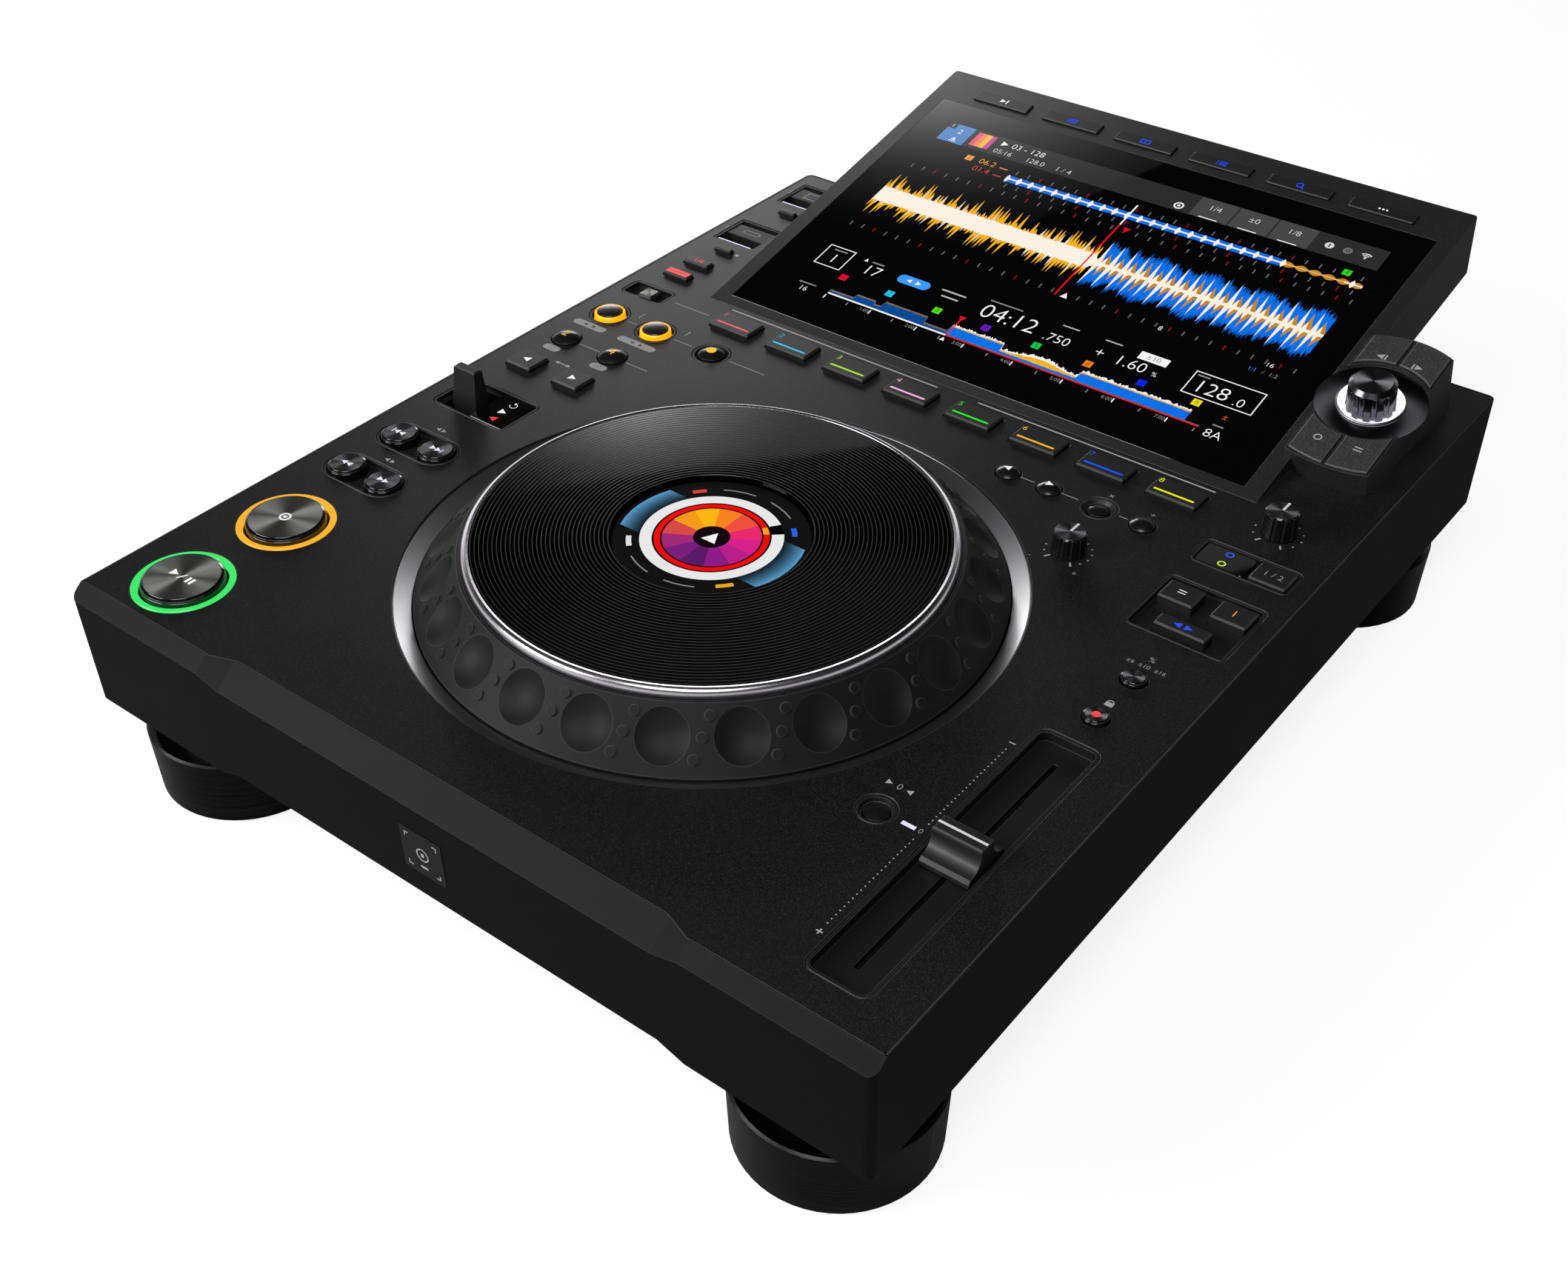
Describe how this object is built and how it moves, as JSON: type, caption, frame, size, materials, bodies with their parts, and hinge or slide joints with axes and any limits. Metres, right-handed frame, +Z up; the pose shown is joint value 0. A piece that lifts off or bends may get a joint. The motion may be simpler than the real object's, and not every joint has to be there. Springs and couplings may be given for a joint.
{
  "type": "desktop dj media player",
  "caption": "Desktop DJ media player with a large dimpled jog wheel, tilted touch screen, tempo slider, backlit keys, rotary selector and tall turned feet.",
  "frame": {"origin": "on the table, under the middle of the player's footprint", "axes": "+Z up, +X to the operator's right, +Y from the front edge towards the raised screen"},
  "size_m": [0.329, 0.4718, 0.1226],
  "materials": {
    "casing": "fine moulded grain, satin black",
    "deck_paint": "fine textured matte black paint",
    "black_plastic": "moulded black ABS",
    "gloss_black": "polished black",
    "zinc_steel": "zinc plated sheet",
    "screw_steel": "blackened steel",
    "foot_metal": "turned, black anodised",
    "foot_rubber": "soft black rubber",
    "well_aluminium": "satin turned",
    "jog_rubber": "satin rubber coat",
    "jog_chrome": "bright chrome",
    "disc_black": "fine concentric grooves",
    "display_gloss": "smoked clear window",
    "screen_glass": "bonded black touch glass",
    "key_plastic": "satin keycap",
    "key_spun": "spun face, dark anodised",
    "key_gloss": "polished black dome",
    "knob_gloss": "fluted polished black",
    "light_white": "milky light guide",
    "light_ring": "coloured light guide",
    "pcb_green": "solder mask",
    "socket_metal": "nickel plated shells",
    "bearing_steel": "ground steel"
  },
  "bodies": {
    "root": {"main_case": "casing", "bottom_plate": "zinc_steel", "top_panel": "deck_paint", "control_frame": "black_plastic", "front_badge": "gloss_black", "feet": "foot_metal", "foot_pads": "foot_rubber", "case_screws": "screw_steel", "well_ring": "well_aluminium", "jog_base": "zinc_steel", "jog_bearing": "bearing_steel", "jog_display": "display_gloss", "screen_housing": "casing", "screen_back": "black_plastic", "screen_glass": "screen_glass", "lcd_module": "zinc_steel", "selector_pod": "gloss_black", "selector_light_ring": "light_white", "slider_tray": "black_plastic", "fader_unit": "zinc_steel", "display_windows": "display_gloss", "light_rings": "light_ring", "usb_wells": "black_plastic", "usb_sockets": "socket_metal", "mains_inlet": "black_plastic", "rear_sockets": "socket_metal", "main_board": "pcb_green", "power_supply": "pcb_green"},
    "jog": {"jog_wheel": "jog_rubber", "jog_trim": "jog_chrome", "jog_disc": "disc_black"},
    "tempo_slider": {"tempo_slider": "gloss_black"},
    "direction_lever": {"direction_lever": "key_plastic"},
    "selector_shaft": {"selector_shaft": "socket_metal"},
    "selector_knob": {"selector_knob": "knob_gloss"},
    "feel_knob": {"feel_knob": "knob_gloss"},
    "speed_knob": {"speed_knob": "knob_gloss"},
    "play_key": {"play_key": "key_spun"},
    "cue_key": {"cue_key": "key_spun"},
    "search_keys": {"search_keys": "key_spun"},
    "loop_keys": {"loop_keys": "key_gloss"},
    "reloop_key": {"reloop_key": "key_gloss"},
    "beat_loop_keys": {"beat_loop_keys": "key_gloss"},
    "beat_jump_keys": {"beat_jump_keys": "key_plastic"},
    "left_keys": {"left_keys": "key_plastic"},
    "cue_pad_1": {"cue_pad_1": "key_plastic"},
    "cue_pad_2": {"cue_pad_2": "key_plastic"},
    "cue_pad_3": {"cue_pad_3": "key_plastic"},
    "cue_pad_4": {"cue_pad_4": "key_plastic"},
    "cue_pad_5": {"cue_pad_5": "key_plastic"},
    "cue_pad_6": {"cue_pad_6": "key_plastic"},
    "cue_pad_7": {"cue_pad_7": "key_plastic"},
    "cue_pad_8": {"cue_pad_8": "key_plastic"},
    "dome_keys": {"dome_keys": "key_gloss"},
    "recessed_keys": {"recessed_keys": "key_gloss"},
    "sync_keys": {"sync_keys": "key_plastic"},
    "tempo_keys": {"tempo_keys": "key_spun"},
    "screen_keys": {"screen_keys": "key_plastic"},
    "pod_keys": {"pod_keys": "key_plastic"},
    "power_key": {"power_key": "black_plastic"}
  },
  "joints": [
    {"name": "jog_spin", "type": "hinge", "parent": "root", "child": "jog", "pos_m": [-0.0006, -0.09812, 0.0818], "axis": [0, 0, 1], "continuous": true},
    {"name": "tempo_slide", "type": "slide", "parent": "root", "child": "tempo_slider", "axis": [0, 1, 0], "range_m": [-0.0475, 0.0475]},
    {"name": "lever_swing", "type": "hinge", "parent": "root", "child": "direction_lever", "pos_m": [-0.146, -0.06679, 0.0658], "axis": [1, 0, 0], "range_deg": [-14, 14]},
    {"name": "selector_push", "type": "slide", "parent": "root", "child": "selector_shaft", "axis": [0, 0.2206, -0.9754], "range_m": [0, 0.0008], "stiffness_N_per_m": 600, "springref_m": -0.003},
    {"name": "selector_turn", "type": "hinge", "parent": "selector_shaft", "child": "selector_knob", "pos_m": [0.137, 0.11166, 0.10166], "axis": [0, -0.2206, 0.9754], "continuous": true},
    {"name": "feel_turn", "type": "hinge", "parent": "root", "child": "feel_knob", "pos_m": [0.08735, -0.01449, 0.0818], "axis": [0, 0, 1], "range_deg": [-145, 145]},
    {"name": "speed_turn", "type": "hinge", "parent": "root", "child": "speed_knob", "pos_m": [0.13945, 0.03841, 0.0818], "axis": [0, 0, 1], "range_deg": [-150, 150]},
    {"name": "play_press", "type": "slide", "parent": "root", "child": "play_key", "axis": [0, 0, -1], "range_m": [0, 0.0012], "stiffness_N_per_m": 400, "springref_m": -0.002},
    {"name": "cue_press", "type": "slide", "parent": "root", "child": "cue_key", "axis": [0, 0, -1], "range_m": [0, 0.0012], "stiffness_N_per_m": 400, "springref_m": -0.002},
    {"name": "search_press", "type": "slide", "parent": "root", "child": "search_keys", "axis": [0, 0, -1], "range_m": [0, 0.001], "stiffness_N_per_m": 400, "springref_m": -0.002},
    {"name": "loop_press", "type": "slide", "parent": "root", "child": "loop_keys", "axis": [0, 0, -1], "range_m": [0, 0.001], "stiffness_N_per_m": 400, "springref_m": -0.002},
    {"name": "reloop_press", "type": "slide", "parent": "root", "child": "reloop_key", "axis": [0, 0, -1], "range_m": [0, 0.001], "stiffness_N_per_m": 400, "springref_m": -0.002},
    {"name": "beat_loop_press", "type": "slide", "parent": "root", "child": "beat_loop_keys", "axis": [0, 0, -1], "range_m": [0, 0.001], "stiffness_N_per_m": 400, "springref_m": -0.002},
    {"name": "beat_jump_press", "type": "slide", "parent": "root", "child": "beat_jump_keys", "axis": [0, 0, -1], "range_m": [0, 0.001], "stiffness_N_per_m": 400, "springref_m": -0.002},
    {"name": "left_keys_press", "type": "slide", "parent": "root", "child": "left_keys", "axis": [0, 0, -1], "range_m": [0, 0.001], "stiffness_N_per_m": 400, "springref_m": -0.002},
    {"name": "cue_pad_1_press", "type": "slide", "parent": "root", "child": "cue_pad_1", "axis": [0, 0, -1], "range_m": [0, 0.001], "stiffness_N_per_m": 400, "springref_m": -0.002},
    {"name": "cue_pad_2_press", "type": "slide", "parent": "root", "child": "cue_pad_2", "axis": [0, 0, -1], "range_m": [0, 0.001], "stiffness_N_per_m": 400, "springref_m": -0.002},
    {"name": "cue_pad_3_press", "type": "slide", "parent": "root", "child": "cue_pad_3", "axis": [0, 0, -1], "range_m": [0, 0.001], "stiffness_N_per_m": 400, "springref_m": -0.002},
    {"name": "cue_pad_4_press", "type": "slide", "parent": "root", "child": "cue_pad_4", "axis": [0, 0, -1], "range_m": [0, 0.001], "stiffness_N_per_m": 400, "springref_m": -0.002},
    {"name": "cue_pad_5_press", "type": "slide", "parent": "root", "child": "cue_pad_5", "axis": [0, 0, -1], "range_m": [0, 0.001], "stiffness_N_per_m": 400, "springref_m": -0.002},
    {"name": "cue_pad_6_press", "type": "slide", "parent": "root", "child": "cue_pad_6", "axis": [0, 0, -1], "range_m": [0, 0.001], "stiffness_N_per_m": 400, "springref_m": -0.002},
    {"name": "cue_pad_7_press", "type": "slide", "parent": "root", "child": "cue_pad_7", "axis": [0, 0, -1], "range_m": [0, 0.001], "stiffness_N_per_m": 400, "springref_m": -0.002},
    {"name": "cue_pad_8_press", "type": "slide", "parent": "root", "child": "cue_pad_8", "axis": [0, 0, -1], "range_m": [0, 0.001], "stiffness_N_per_m": 400, "springref_m": -0.002},
    {"name": "dome_press", "type": "slide", "parent": "root", "child": "dome_keys", "axis": [0, 0, -1], "range_m": [0, 0.001], "stiffness_N_per_m": 400, "springref_m": -0.002},
    {"name": "recessed_press", "type": "slide", "parent": "root", "child": "recessed_keys", "axis": [0, 0, -1], "range_m": [0, 0.001], "stiffness_N_per_m": 400, "springref_m": -0.002},
    {"name": "sync_press", "type": "slide", "parent": "root", "child": "sync_keys", "axis": [0, 0, -1], "range_m": [0, 0.001], "stiffness_N_per_m": 400, "springref_m": -0.002},
    {"name": "tempo_keys_press", "type": "slide", "parent": "root", "child": "tempo_keys", "axis": [0, 0, -1], "range_m": [0, 0.001], "stiffness_N_per_m": 400, "springref_m": -0.002},
    {"name": "screen_keys_press", "type": "slide", "parent": "root", "child": "screen_keys", "axis": [0, 0.2206, -0.9754], "range_m": [0, 0.0006], "stiffness_N_per_m": 400, "springref_m": -0.002},
    {"name": "pod_press", "type": "slide", "parent": "root", "child": "pod_keys", "axis": [0, 0.2206, -0.9754], "range_m": [0, 0.0006], "stiffness_N_per_m": 400, "springref_m": -0.002},
    {"name": "power_press", "type": "slide", "parent": "root", "child": "power_key", "axis": [0, -1, 0], "range_m": [0, 0.002], "stiffness_N_per_m": 400, "springref_m": -0.002}
  ]
}
